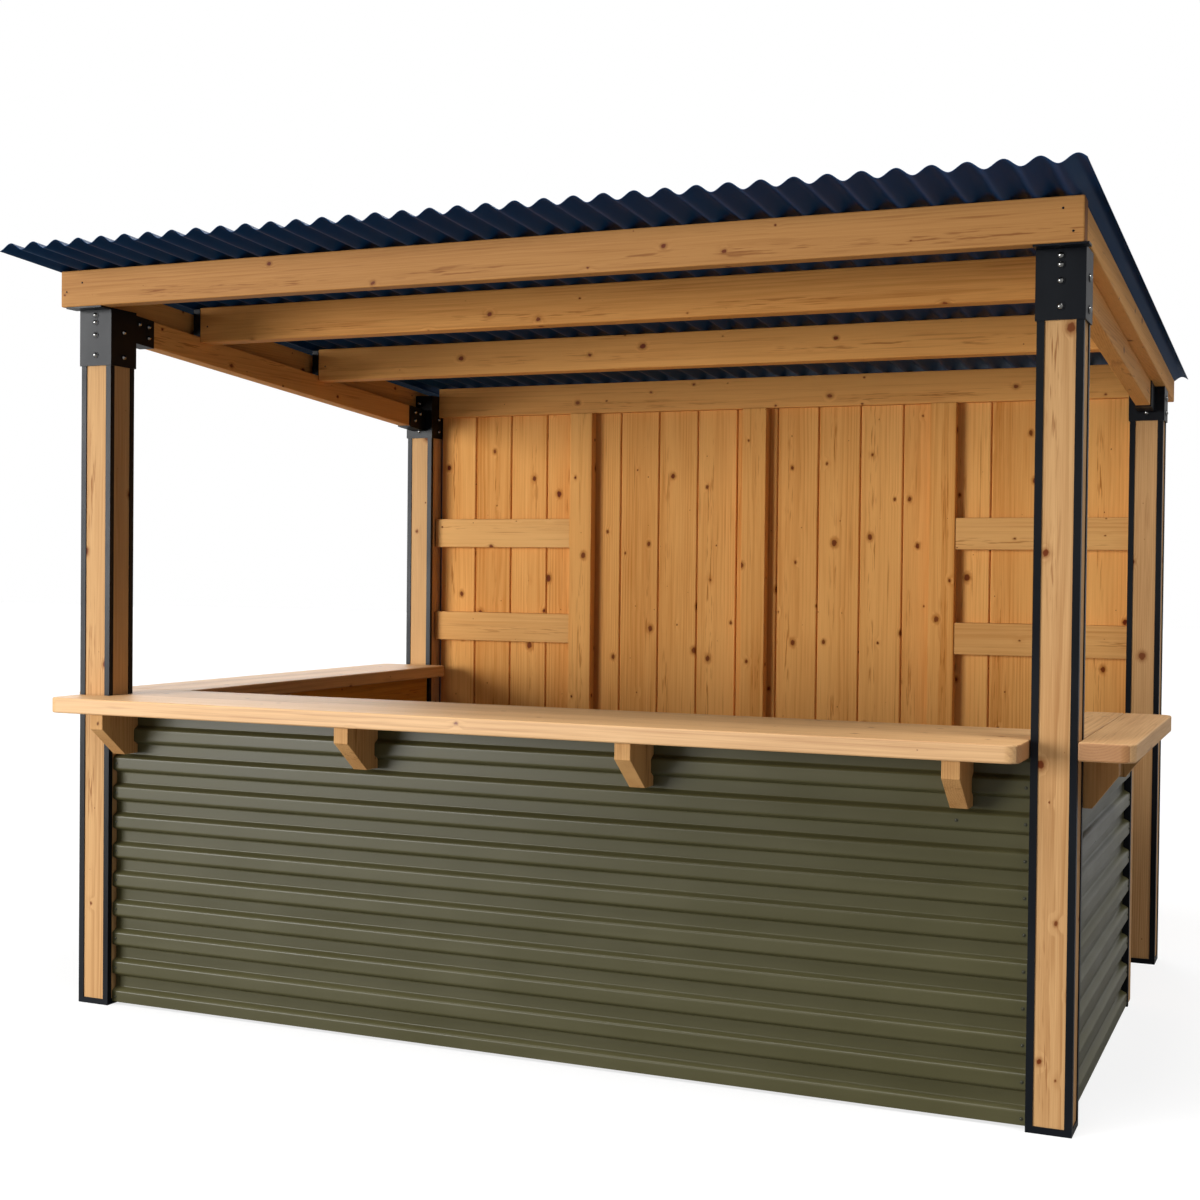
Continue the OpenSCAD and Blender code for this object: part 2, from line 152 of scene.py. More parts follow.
black_steel = coated_steel("black_coat", (0.003, 0.004, 0.006, 1), (0.007, 0.009, 0.0125, 1),
                           roughness=0.35, streak=(9, 9, 3), bump=0.25, gloss=0.145)
for node in ("shoes", "front_post_trims", "back_post_trims", "jamb_trim", "purlin_hangers",
             "bracket_front_left", "bracket_front_right", "bracket_back_left", "bracket_back_right"):
    dress(node, black_steel)

# Posts: four square pine timbers between the corner trims, the front pair taller.
# Planed softwood with oil, grain upright, edges hidden under the steel angles.
# They stand in the shoes and are bolted through the sleeves at the head.

pine, given, out = shader_group(
    "pine_figure",
    [("Grain", "Vector"), ("Tone", "Float"), ("Pale", "Color"), ("Dark", "Color"), ("Knot", "Color"),
     ("Ring", "Float"), ("Knots", "Float"), ("End", "Float")],
    [("Colour", "Color"), ("Roughness", "Float"), ("Height", "Float")])
grain = given["Grain"]
sway = wire(pine, "ShaderNodeTexNoise", {
    "Vector": stretched(pine, grain, (0.7, 5, 5)), "Scale": 1, "Detail": 2}).outputs[1]
sway = wire(pine, "ShaderNodeVectorMath", {0: sway, 1: (0.5, 0.5, 0.5)}, operation="SUBTRACT").outputs[0]
sway = stretched(pine, sway, (0, 0.016, 0.016))
bent = wire(pine, "ShaderNodeVectorMath", {0: grain, 1: sway}, operation="ADD").outputs[0]
apart = wire(pine, "ShaderNodeSeparateXYZ", {0: grain})
side = calc(pine, "MULTIPLY_ADD", apart.outputs[2], 0.9, apart.outputs[1])
face = wire(pine, "ShaderNodeCombineXYZ", {
    0: calc(pine, "MULTIPLY", apart.outputs[0], 5.8), 1: calc(pine, "MULTIPLY", side, 7.6)})
branch = wire(pine, "ShaderNodeTexVoronoi", {"Vector": face.outputs[0], "Scale": 1},
              voronoi_dimensions="2D")
ragged = calc(pine, "SUBTRACT", cloud(pine, grain, 90.0, 2.0), 0.5)
reach = calc(pine, "MULTIPLY_ADD", ragged, 0.055, branch.outputs["Distance"])
chance = wire(pine, "ShaderNodeSeparateColor", {0: branch.outputs["Color"]})
pick = calc(pine, "POWER", chance.outputs[0], 3.0)
size = calc(pine, "MULTIPLY", calc(pine, "MULTIPLY_ADD", pick, 0.066, 0.004), given["Knots"])
core = ramp(pine, reach, size, calc(pine, "MULTIPLY", size, 0.65))
core = calc(pine, "MULTIPLY", core, ramp(pine, chance.outputs[1], 0.0, 1.0, 0.8, 1.0))
halo = ramp(pine, reach, calc(pine, "MULTIPLY", size, 2.1), calc(pine, "MULTIPLY", size, 0.6))
swirl = calc(pine, "MULTIPLY", ramp(pine, reach, 0.2, 0.02), calc(pine, "MULTIPLY", size, 0.12))
heart = wire(pine, "ShaderNodeVectorMath", {0: stretched(pine, bent, (0, 1, 1))},
             operation="LENGTH").outputs[1]
rough_ring = calc(pine, "MULTIPLY", cloud(pine, stretched(pine, grain, (2, 60, 60)), 1.0, 2.0), 0.005)
heart = calc(pine, "ADD", calc(pine, "ADD", heart, swirl), rough_ring)
ring = calc(pine, "FRACT", calc(pine, "DIVIDE", heart, given["Ring"]))
late = calc(pine, "MULTIPLY", ramp(pine, ring, 0.2, 0.88), ramp(pine, ring, 1.0, 0.9))
vivid = ramp(pine, cloud(pine, stretched(pine, grain, (1.2, 14, 14)), 1.0, 2.0), 0.3, 0.7, 0.1, 0.9)
fibre = cloud(pine, stretched(pine, grain, (5, 330, 330)), 1.0, 3.0)
broad = cloud(pine, stretched(pine, grain, (0.7, 11, 11)), 1.0, 3.0)
depth = calc(pine, "MULTIPLY", given["Tone"], 0.3)
depth = calc(pine, "MULTIPLY_ADD", calc(pine, "MULTIPLY", late, vivid), 0.3, depth)
depth = calc(pine, "MULTIPLY_ADD", calc(pine, "SUBTRACT", fibre, 0.5), 0.6, depth)
depth = calc(pine, "MULTIPLY_ADD", calc(pine, "SUBTRACT", broad, 0.5), 0.7, depth)
russet = blend(pine, 0.3, given["Dark"], given["Knot"])
resin = ramp(pine, cloud(pine, stretched(pine, grain, (2.6, 80, 40)), 1.0, 3.0), 0.6, 0.8, 0.0, 0.7)
marks = ramp(pine, cloud(pine, stretched(pine, grain, (11, 170, 90)), 1.0, 2.0), 0.52, 0.68, 0.0, 0.85)
near_heart = ramp(pine, calc(pine, "ABSOLUTE", apart.outputs[1]), 0.024, 0.004)
patchy = ramp(pine, cloud(pine, stretched(pine, grain, (2.0, 9, 9)), 1.0, 1.0), 0.42, 0.58)
marks = calc(pine, "MULTIPLY", calc(pine, "MULTIPLY", marks, near_heart), patchy)
wood = blend(pine, ramp(pine, depth, -0.22, 0.98), given["Pale"], given["Dark"])
wood = blend(pine, calc(pine, "MAXIMUM", resin, marks), wood, russet)
wood = blend(pine, calc(pine, "MULTIPLY", halo, 0.8), wood, russet)
wood = blend(pine, core, wood, given["Knot"])
cut_end = blend(pine, calc(pine, "MULTIPLY_ADD", late, 0.7, 0.3), given["Dark"], russet)
wood = blend(pine, calc(pine, "MULTIPLY", given["End"], 0.85), wood, cut_end)
fill(pine, out, {
    "Colour": wood,
    "Roughness": calc(pine, "MULTIPLY_ADD", fibre, 0.2, calc(pine, "MULTIPLY_ADD", core, -0.12, 0.5)),
    "Height": calc(pine, "MULTIPLY_ADD", fibre, 0.7, calc(pine, "MULTIPLY", late, 0.3)),
})


def pine_finish(name, pale, dark, knot, ring=0.006, knots=1.0, gloss=0.14, turn=None):
    """A pine finish on the timbers' own grain, or on Object coordinates turned to run x with the grain."""
    values = {"Pale": pale, "Dark": dark, "Knot": knot, "Ring": ring, "Knots": knots}
    finish, group = finish_from(pine, name, values, gloss, bump=0.35, relief=0.0008)
    tree = finish.node_tree
    if turn:
        place = wire(tree, "ShaderNodeTexCoord").outputs["Object"]
        along = wire(tree, "ShaderNodeMapping", {"Vector": place, "Rotation": turn}).outputs[0]
    else:
        lay = wire(tree, "ShaderNodeAttribute", attribute_name="grain").outputs["Vector"]
        shift = wire(tree, "ShaderNodeAttribute", attribute_name="shift").outputs["Vector"]
        along = wire(tree, "ShaderNodeVectorMath", {0: lay, 1: shift}, operation="ADD").outputs[0]
        for label in ("Tone", "End"):
            value = wire(tree, "ShaderNodeAttribute", attribute_name=label.lower()).outputs["Fac"]
            tree.links.new(value, group.inputs[label])
    tree.links.new(along, group.inputs["Grain"])
    return finish


saw = random.Random(41)


def timber_mesh(name, parts, ease):
    """Eased timbers in one mesh, each with its own cut of grain.

    A part is an outline, the push that gives it depth, and the axis that its grain follows.
    """
    points, faces, grains, tones, ends = [], [], [], [], []
    for outline, push, along in parts:
        bm = bmesh.new()
        low = [bm.verts.new(p) for p in outline]
        high = [bm.verts.new(Vector(p) + Vector(push)) for p in outline]
        bm.faces.new(low)
        bm.faces.new(high)
        for i in range(len(low)):
            bm.faces.new((low[i - 1], low[i], high[i], high[i - 1]))
        bmesh.ops.recalc_face_normals(bm, faces=bm.faces)
        corners = [e for e in bm.edges if e.calc_face_angle(0.0) > 0.5]
        bmesh.ops.bevel(bm, geom=corners, offset=ease, offset_type="OFFSET", segments=2, profile=0.5,
                        affect="EDGES", clamp_overlap=True)
        spans = [(min(v.co[k] for v in bm.verts), max(v.co[k] for v in bm.verts)) for k in range(3)]
        wide, thin = sorted((k for k in range(3) if k != along), key=lambda k: spans[k][0] - spans[k][1])
        start = saw.uniform(0.0, 9.0)
        heart_wide = sum(spans[wide]) / 2 + saw.uniform(-0.3, 0.3) * (spans[wide][1] - spans[wide][0])
        heart_thin = sum(spans[thin]) / 2 + saw.choice((-1, 1)) * saw.uniform(0.07, 0.13)
        tone = saw.random()
        first = len(points)
        bm.verts.index_update()
        for v in bm.verts:
            points.append(tuple(v.co))
            grains += (v.co[along] + start, v.co[wide] - heart_wide, v.co[thin] - heart_thin)
            tones.append(tone)
        bm.normal_update()
        for f in bm.faces:
            faces.append([first + v.index for v in f.verts])
            ends.append(1.0 if abs(f.normal[along]) > 0.8 else 0.0)
        bm.free()
    mesh = bpy.data.meshes.new(name)
    mesh.from_pydata(points, [], faces)
    mesh.attributes.new("grain", "FLOAT_VECTOR", "POINT").data.foreach_set("vector", grains)
    mesh.attributes.new("tone", "FLOAT", "POINT").data.foreach_set("value", tones)
    mesh.attributes.new("end", "FLOAT", "FACE").data.foreach_set("value", ends)
    return mesh


def fit(piece, finish, slot, *stands_for):
    """Fix a piece to the stall, with its finish, in place of CAD nodes."""
    if finish:
        piece.data.materials.clear()
        piece.data.materials.append(finish)
    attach(piece, "root")
    if stands_for:
        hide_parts(*stands_for)


def timbers(name, parts, finish, slot, stands_for, ease=0.003):
    """Make and fit one piece of eased timbers."""
    piece = bpy.data.objects.new(name, timber_mesh(name, parts, ease))
    bpy.context.collection.objects.link(piece)
    fit(piece, finish, slot, *stands_for)
    return piece


def block(low, high, along):
    """A straight timber between two corners."""
    outline = [(low[0], low[1], low[2]), (high[0], low[1], low[2]),
               (high[0], high[1], low[2]), (low[0], high[1], low[2])]
    return outline, (0, 0, high[2] - low[2]), along


frame_pine = pine_finish("frame_pine_oiled", (0.66, 0.393, 0.172, 1), (0.33, 0.14, 0.04, 1),
                         (0.14, 0.026, 0.002, 1), knots=1.25)
short_of_head = 0.06
for corner in ("front_left", "front_right", "back_left", "back_right"):
    low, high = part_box("post_" + corner)
    if "back" in corner:
        high = (high[0], high[1], high[2] - short_of_head)
    timbers("timber_post_" + corner, [block(low, high, 2)], frame_pine, "frame_pine",
            ["post_" + corner], ease=0.002)

# Roof timbers: front beam on the seat plates, two purlins and the back beam between the side beams,
# and an outer board along each side. Sawn and planed pine with eased edges, cut to the fall of the roof.
# The beams are bolted to the steel arms, and the purlins are screwed to cleats.

fall_angle = math.radians(4)
fall = math.tan(fall_angle)


def level_beam(node):
    """A beam across the stall with a level underside and a top cut to the roof's fall."""
    low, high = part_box(node)
    drop = fall * (high[1] - low[1])
    outline = [(low[0], low[1], low[2]), (low[0], high[1], low[2]),
               (low[0], high[1], high[2] - drop), (low[0], low[1], high[2])]
    return outline, (high[0] - low[0], 0, 0), 0


def sloping(node, along):
    """A timber whose top and underside both follow the roof's fall."""
    low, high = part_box(node)
    drop = fall * (high[1] - low[1])
    outline = [(low[0], low[1], low[2] + drop), (low[0], high[1], low[2]),
               (low[0], high[1], high[2] - drop), (low[0], low[1], high[2])]
    return outline, (high[0] - low[0], 0, 0), along


front_pine = pine_finish("front_beam_pine", (0.5, 0.243, 0.075, 1), (0.29, 0.11, 0.027, 1),
                         (0.13, 0.02, 0.002, 1), knots=0.8)
timbers("timber_front_beam", [level_beam("front_beam")], front_pine, "frame_pine",
        ["front_beam"], ease=0.004)
beam_pine = pine_finish("beam_pine_oiled", (0.8, 0.39, 0.108, 1), (0.49, 0.185, 0.036, 1),
                        (0.16, 0.024, 0.002, 1))
timbers("timber_back_beam", [level_beam("back_beam")], beam_pine, "frame_pine", ["back_beam"], ease=0.003)
for node in ("front_purlin", "rear_purlin"):
    timbers("timber_" + node, [sloping(node, 0)], beam_pine, "frame_pine", [node], ease=0.004)
for node in ("left_side_beam", "right_side_beam", "left_outer_board", "right_outer_board"):
    timbers("timber_" + node, [sloping(node, 1)], beam_pine, "frame_pine", [node], ease=0.003)

# Bolts and nails: domed coach bolts on black washers through the sleeves and arms, and nails in the beams.
# The bolts are bright zinc-plated steel. Each head lies flat on the face that it is driven into.


def growing(name, takes):
    """Start a geometry tree, and give it with its inputs, its output and its inputs' identifiers."""
    tree = bpy.data.node_groups.new(name, "GeometryNodeTree")
    tree.interface.new_socket("Geometry", in_out="OUTPUT", socket_type="NodeSocketGeometry")
    keys = {}
    for label, kind in takes:
        socket = tree.interface.new_socket(label, in_out="INPUT", socket_type="NodeSocket" + kind)
        keys[label] = socket.identifier
    return tree, tree.nodes.new("NodeGroupInput").outputs, tree.nodes.new("NodeGroupOutput").inputs, keys


def grown(name, mesh, tree, keys, values):
    """Run a geometry tree on a mesh, and give an object with the plain result."""
    piece = bpy.data.objects.new(name, mesh)
    bpy.context.collection.objects.link(piece)
    modifier = piece.modifiers.new("grow", "NODES")
    modifier.node_group = tree
    for label, value in values.items():
        modifier[keys[label]] = value
    result = bpy.data.meshes.new_from_object(piece.evaluated_get(bpy.context.evaluated_depsgraph_get()))
    piece.modifiers.clear()
    piece.data = result
    result.name = name
    return piece


bolt_tree, given, out, bolt_keys = growing("bolt_heads", [
    ("Geometry", "Geometry"), ("Head radius", "Float"), ("Head rise", "Float"), ("Washer radius", "Float"),
    ("Washer rise", "Float"), ("Round", "Bool"), ("Material", "Material")])
washer = wire(bolt_tree, "GeometryNodeMeshCylinder", {
    "Vertices": 16, "Radius": given["Washer radius"], "Depth": given["Washer rise"]})
dome = wire(bolt_tree, "GeometryNodeMeshUVSphere", {
    "Segments": 12, "Rings": 8, "Radius": given["Head radius"]})
squash = wire(bolt_tree, "ShaderNodeCombineXYZ", {
    0: 1.0, 1: 1.0, 2: calc(bolt_tree, "DIVIDE", given["Head rise"], given["Head radius"])})
dome = wire(bolt_tree, "GeometryNodeTransform", {"Geometry": dome.outputs[0], "Scale": squash.outputs[0]})
head = wire(bolt_tree, "GeometryNodeJoinGeometry")
bolt_tree.links.new(washer.outputs[0], head.inputs[0])
bolt_tree.links.new(dome.outputs[0], head.inputs[0])
facing = wire(bolt_tree, "GeometryNodeInputNamedAttribute", {"Name": "facing"}, data_type="FLOAT_VECTOR")
aim = wire(bolt_tree, "FunctionNodeAlignRotationToVector", {"Vector": facing.outputs[0]}, axis="Z")
driven = wire(bolt_tree, "GeometryNodeInstanceOnPoints", {
    "Points": given["Geometry"], "Instance": head.outputs[0], "Rotation": aim.outputs[0]})
driven = wire(bolt_tree, "GeometryNodeRealizeInstances", {0: driven.outputs[0]})
driven = wire(bolt_tree, "GeometryNodeSetShadeSmooth", {
    "Geometry": driven.outputs[0], "Selection": given["Round"]})
driven = wire(bolt_tree, "GeometryNodeSetMaterial", {
    "Geometry": driven.outputs[0], "Material": given["Material"]})
bolt_tree.links.new(driven.outputs[0], out[0])


def fixings(name, places, finish, slot, head, washer):
    """Drive heads at places, each a point and the way it faces. Head and washer are radius and rise."""
    mesh = bpy.data.meshes.new(name + "_places")
    mesh.from_pydata([place[0] for place in places], [], [])
    ways = [number for place in places for number in place[1]]
    mesh.attributes.new("facing", "FLOAT_VECTOR", "POINT").data.foreach_set("vector", ways)
    piece = grown(name, mesh, bolt_tree, bolt_keys, {
        "Head radius": head[0], "Head rise": head[1], "Washer radius": washer[0], "Washer rise": washer[1],
        "Round": washer[0] < head[0], "Material": finish})
    fit(piece, None, slot)
    return piece


def sleeve_bolts(post, face_ways, face_heights, side_heights):
    """Bolt places on a post's sleeve: up the middle of its faces, and in pairs through its sides."""
    low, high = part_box(post)
    sleeve = 0.007
    middle_x, middle_y = (low[0] + high[0]) / 2, (low[1] + high[1]) / 2
    places = []
    for z in face_heights:
        for way in face_ways:
            y = low[1] - sleeve if way < 0 else high[1] + sleeve
            places.append(((middle_x, y, z), (0, way, 0)))
    for z in side_heights:
        for way in (-1, 1):
            x = low[0] - sleeve if way < 0 else high[0] + sleeve
            places.append(((x, middle_y, z), (way, 0, 0)))
    return places


zinc = coated_steel("zinc_plate", (0.34, 0.34, 0.33, 1), (0.2, 0.195, 0.185, 1),
                    roughness=0.22, streak=(40, 40, 40), bump=0.1, gloss=0.5)
zinc.node_tree.nodes["Principled BSDF"].inputs["Metallic"].default_value = 1.0
bolts = []
arm_plate = 0.004
arm_spots = ((-0.86, 2.092), (-0.86, 2.057), (-0.905, 2.095), (0.83, 1.975), (0.83, 1.942), (0.87, 1.972))
for side in ("left", "right"):
    bolts += sleeve_bolts("post_front_" + side, (-1,), (2.1, 2.078, 2.04, 1.979), (2.052, 1.976))
    bolts += sleeve_bolts("post_back_" + side, (-1, 1), (2.018, 1.992, 1.952, 1.904), (1.955, 1.905))
    low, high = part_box(side + "_side_beam")
    inward = 1 if side == "left" else -1
    x = high[0] + arm_plate if inward > 0 else low[0] - arm_plate
    for y, z in arm_spots:
        bolts.append(((x, y, z), (inward, 0, 0)))
fixings("post_head_washers", bolts, black_steel, "black_steel",
        head=(0.01, 0.0025), washer=(0.0108, 0.003))
fixings("post_head_bolts", bolts, zinc, "black_steel",
        head=(0.0082, 0.0072), washer=(0.007, 0.003))
nails = []
low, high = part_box("front_beam")
for x, z in ((low[0] + 0.022, 2.165), (low[0] + 0.08, 2.19),
             (high[0] - 0.026, 2.145), (high[0] - 0.05, 2.2)):
    nails.append(((x, low[1], z), (0, -1, 0)))
nail_in, nail_up = 0.03, 0.055
for node in ("front_purlin", "rear_purlin"):
    low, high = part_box(node)
    for x in (low[0] + nail_in, high[0] - nail_in):
        nails.append(((x, low[1], low[2] + nail_up), (0, -1, 0)))
fixings("beam_nails", nails, black_steel, "black_steel",
        head=(0.003, 0.0012), washer=(0.0025, 0.001))

# Roof: three navy corrugated steel sheets, side by side, falling to the back.
# Coil-coated steel rolled to a round wave. The sheets lie on the beams and purlins.

sheet_tree, given, out, sheet_keys = growing("rolled_sheet", [
    ("Width", "Float"), ("Length", "Float"), ("Waves", "Float"), ("Depth", "Float"), ("Start", "Float"),
    ("Flat", "Float"), ("Folded", "Float"), ("Steps", "Int"), ("Thickness", "Float"),
    ("Material", "Material")])
flat_sheet = wire(sheet_tree, "GeometryNodeMeshGrid", {
    "Size X": given["Width"], "Size Y": given["Length"], "Vertices X": given["Steps"], "Vertices Y": 2})
spot = wire(sheet_tree, "GeometryNodeInputPosition").outputs[0]
spot = wire(sheet_tree, "ShaderNodeSeparateXYZ", {0: spot})
phase = calc(sheet_tree, "DIVIDE", spot.outputs[0], given["Width"])
phase = calc(sheet_tree, "ADD", phase, 0.5)
phase = calc(sheet_tree, "MULTIPLY_ADD", phase, given["Waves"], given["Start"])
rolled = calc(sheet_tree, "COSINE", calc(sheet_tree, "MULTIPLY", phase, math.tau))
rolled = calc(sheet_tree, "MULTIPLY_ADD", rolled, -0.5, 0.5)
off_crest = calc(sheet_tree, "SUBTRACT", calc(sheet_tree, "FRACT", phase), 0.5)
off_crest = calc(sheet_tree, "MULTIPLY", calc(sheet_tree, "ABSOLUTE", off_crest), 2.0)
folded = ramp(sheet_tree, off_crest, calc(sheet_tree, "SUBTRACT", 1.0, given["Flat"]), given["Flat"])
sharper = calc(sheet_tree, "SUBTRACT", folded, rolled)
wave = calc(sheet_tree, "MULTIPLY_ADD", sharper, given["Folded"], rolled)
rise = wire(sheet_tree, "ShaderNodeCombineXYZ", {2: calc(sheet_tree, "MULTIPLY", wave, given["Depth"])})
skin = wire(sheet_tree, "GeometryNodeSetPosition", {
    "Geometry": flat_sheet.outputs[0], "Offset": rise.outputs[0]})
upper = wire(sheet_tree, "GeometryNodeExtrudeMesh", {
    "Mesh": skin.outputs[0], "Offset Scale": given["Thickness"], "Individual": False}, mode="FACES")
lower = wire(sheet_tree, "GeometryNodeFlipFaces", {0: skin.outputs[0]})
shell = wire(sheet_tree, "GeometryNodeJoinGeometry")
sheet_tree.links.new(upper.outputs[0], shell.inputs[0])
sheet_tree.links.new(lower.outputs[0], shell.inputs[0])
shell = wire(sheet_tree, "GeometryNodeMergeByDistance", {
    "Geometry": shell.outputs[0], "Distance": 0.00005})
shell = wire(sheet_tree, "GeometryNodeSetShadeSmooth", {
    "Geometry": shell.outputs[0], "Shade Smooth": True})
crease = wire(sheet_tree, "GeometryNodeInputMeshEdgeAngle").outputs[0]
crease = wire(sheet_tree, "FunctionNodeCompare", {0: crease, 1: 0.7}, operation="GREATER_THAN").outputs[0]
shell = wire(sheet_tree, "GeometryNodeSetShadeSmooth", {
    "Geometry": shell.outputs[0], "Selection": crease, "Shade Smooth": False}, domain="EDGE")
shell = wire(sheet_tree, "GeometryNodeRealizeInstances", {0: shell.outputs[0]})
shell = wire(sheet_tree, "GeometryNodeSetMaterial", {
    "Geometry": shell.outputs[0], "Material": given["Material"]})
sheet_tree.links.new(shell.outputs[0], out[0])


def sheet(name, stands_for, slot, finish, where, values):
    """Roll a sheet flat in x and y, carry it to its place and fit it."""
    blank = bpy.data.meshes.new(name + "_blank")
    piece = grown(name, blank, sheet_tree, sheet_keys, dict(values, Material=finish))
    piece.data.transform(where)
    fit(piece, None, slot, stands_for)
    return piece


navy_sheet = coated_steel("navy_coil_coat", (0.007, 0.039, 0.112, 1), (0.01, 0.049, 0.13, 1),
                          roughness=0.42, streak=(26, 1.2, 9), bump=0.05, gloss=0.032)
sheet_waves = 12.5833
wave_depth = 0.02
sheet_thick = 0.0015
rise_over = wave_depth + sheet_thick
for number, side in enumerate(("left", "middle", "right")):
    low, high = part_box("roof_sheet_" + side)
    length = (high[1] - low[1] - rise_over * math.sin(fall_angle)) / math.cos(fall_angle)
    front = Vector(((low[0] + high[0]) / 2, low[1], high[2] - rise_over * math.cos(fall_angle)))
    tilt = Matrix.Rotation(-fall_angle, 4, "X")
    where = Matrix.Translation(front) @ tilt @ Matrix.Translation((0, length / 2, 0))
    sheet("rolled_roof_" + side, "roof_sheet_" + side, "navy_sheet", navy_sheet, where, {
        "Width": high[0] - low[0], "Length": length, "Waves": sheet_waves, "Depth": wave_depth,
        "Start": number * sheet_waves, "Folded": 0.0, "Steps": 301, "Thickness": sheet_thick})

# Half-wall cladding: olive steel sheets folded into ten level ribs, outside each of the three half walls.
# Coil-coated steel, screwed to the studs through the ribs beside the posts.

olive_sheet = coated_steel("olive_coil_coat", (0.066, 0.06, 0.024, 1), (0.088, 0.08, 0.034, 1),
                           roughness=0.34, streak=(1.0, 1.0, 14), bump=0.05, gloss=0.26)
ribs = 10
rib_depth = 0.018
rib_flat = 0.36
fold_in = rib_flat / 2
fold_out = 0.5 - rib_flat / 2
rib_back = {"front": (0, -1, 0), "left": (-1, 0, 0), "right": (1, 0, 0)}
for side, out_way in rib_back.items():
    low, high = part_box(side + "_cladding")
    out_way = Vector(out_way)
    up = Vector((0, 0, 1))
    run = up.cross(out_way)
    middle = (Vector(low) + Vector(high)) / 2
    turned = Matrix((up, -run, out_way)).transposed().to_4x4()
    where = Matrix.Translation(middle - out_way * (rib_depth + sheet_thick) / 2) @ turned
    length = high[0] - low[0] if side == "front" else high[1] - low[1]
    sheet("folded_cladding_" + side, side + "_cladding", "olive_sheet", olive_sheet, where, {
        "Width": high[2] - low[2], "Length": length, "Waves": float(ribs), "Depth": rib_depth,
        "Start": fold_out, "Flat": rib_flat, "Folded": 1.0, "Steps": 401, "Thickness": sheet_thick})

screw_coat = coated_steel("olive_screw_coat", (0.035, 0.034, 0.018, 1), (0.05, 0.048, 0.03, 1),
                          roughness=0.35, streak=(30, 30, 30), bump=0.05)
front_low, front_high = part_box("front_cladding")
left_low, left_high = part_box("left_cladding")
right_low, right_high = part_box("right_cladding")
cladding_foot = 0.008
rib_pitch = 0.0892
screw_in, jamb_screw_in = 0.012, 0.02
screws = []
for i in range(ribs):
    z = cladding_foot + (i + fold_in) * rib_pitch
    for x in (front_low[0] + screw_in, front_high[0] - screw_in):
        screws.append(((x, front_low[1], z), (0, -1, 0)))
    for y in (left_low[1] + screw_in, left_high[1] - screw_in):
        screws.append(((left_low[0], y, z), (-1, 0, 0)))
    for y in (right_low[1] + screw_in, right_high[1] - jamb_screw_in):
        screws.append(((right_high[0], y, z), (1, 0, 0)))
lone_screw_x, lone_screw_z = 1.18, 0.7377
screws.append(((lone_screw_x, front_low[1], lone_screw_z), (0, -1, 0)))
fixings("cladding_screws", screws, screw_coat, "olive_sheet",
        head=(0.0035, 0.002), washer=(0.0045, 0.0012))

# Half-wall timber: studs and rails behind the cladding, boards of lining inside, and the entrance's jamb.
# Rough pine framing, planed lining boards screwed level to the studs, one upright jamb.

stud_pine = pine_finish("stud_pine_rough", (0.42, 0.24, 0.1, 1), (0.22, 0.1, 0.035, 1),
                        (0.1, 0.04, 0.012, 1), turn=(0, math.radians(90), 0))
for side in ("front", "left", "right"):
    dress(side + "_wall_frame", stud_pine)
# The lining pine is made brighter and more orange than the wood, as painted bounce light from the wall on
# boards that stand in shade.
lining_pine = pine_finish("lining_pine_painted_bounce", (0.82, 0.42, 0.075, 1), (0.54, 0.225, 0.028, 1),
                          (0.15, 0.035, 0.004, 1))
lining_boards = 6
for side in ("front", "left", "right"):
    low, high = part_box(side + "_lining")
    along = 0 if side == "front" else 1
    step = (high[2] - low[2]) / lining_boards
    parts = []
    for i in range(lining_boards):
        z = low[2] + i * step
        parts.append(block((low[0], low[1], z), (high[0], high[1], z + step), along))
    timbers("lining_boards_" + side, parts, lining_pine, "wall_pine", [side + "_lining"], ease=0.0025)
low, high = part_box("entrance_jamb")
timbers("timber_jamb", [block(low, high, 2)], frame_pine, "frame_pine", ["entrance_jamb"], ease=0.003)

# Counters: planks at serving height, an L along the front and left, and two planks on the right.
# Planed pale pine, eased all round, with round plan corners. Corbels carry them from the half walls.

under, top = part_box("front_counter")[0][2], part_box("front_counter")[1][2]
plan_round = 0.036
round_steps = 14


def rounded(centre, start):
    """Quarter of a plan corner round a centre, from a start angle in degrees, at the underside."""
    turns = [math.radians(start + 90 * i / round_steps) for i in range(round_steps + 1)]
    return [(centre[0] + plan_round * math.cos(turn), centre[1] + plan_round * math.sin(turn), under)
            for turn in turns]


counter_pine = pine_finish("counter_pine_planed", (0.73, 0.438, 0.19, 1), (0.37, 0.16, 0.045, 1),
                           (0.18, 0.045, 0.006, 1), ring=0.007, knots=0.7, gloss=0.8)
lift = (0, 0, top - under)
low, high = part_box("front_counter")
post_low, post_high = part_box("post_front_left")
gap = 0.006
end_x = post_low[0] - 0.003
plan = rounded((end_x + plan_round, low[1] + plan_round), 180)
plan += rounded((high[0] - plan_round, low[1] + plan_round), 270)
plan += [(high[0], high[1], under), (low[0], high[1], under), (low[0], post_high[1] + gap, under),
         (post_high[0] + gap, post_high[1] + gap, under), (post_high[0] + gap, post_low[1] - gap, under),
         (end_x, post_low[1] - gap, under)]
timbers("plank_front_counter", [(plan, lift, 0)], counter_pine, "counter_pine",
        ["front_counter"], ease=0.004)
low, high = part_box("left_counter")
plan = [(low[0], low[1], under), (high[0], low[1], under), (high[0], high[1], under)]
plan += rounded((low[0] + plan_round, high[1] - plan_round), 90)
timbers("plank_left_counter", [(plan, lift, 1)], counter_pine, "counter_pine", ["left_counter"], ease=0.004)
low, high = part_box("right_counter_outer")
plan = [(low[0], low[1], under)] + rounded((high[0] - plan_round, low[1] + plan_round), 270)
plan += rounded((high[0] - plan_round, high[1] - plan_round), 0) + [(low[0], high[1], under)]
timbers("plank_right_counter_outer", [(plan, lift, 1)], counter_pine, "counter_pine",
        ["right_counter_outer"], ease=0.004)
low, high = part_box("right_counter_inner")
joint = 0.002
plan = [(low[0], low[1], under), (high[0] - joint, low[1], under), (high[0] - joint, high[1], under)]
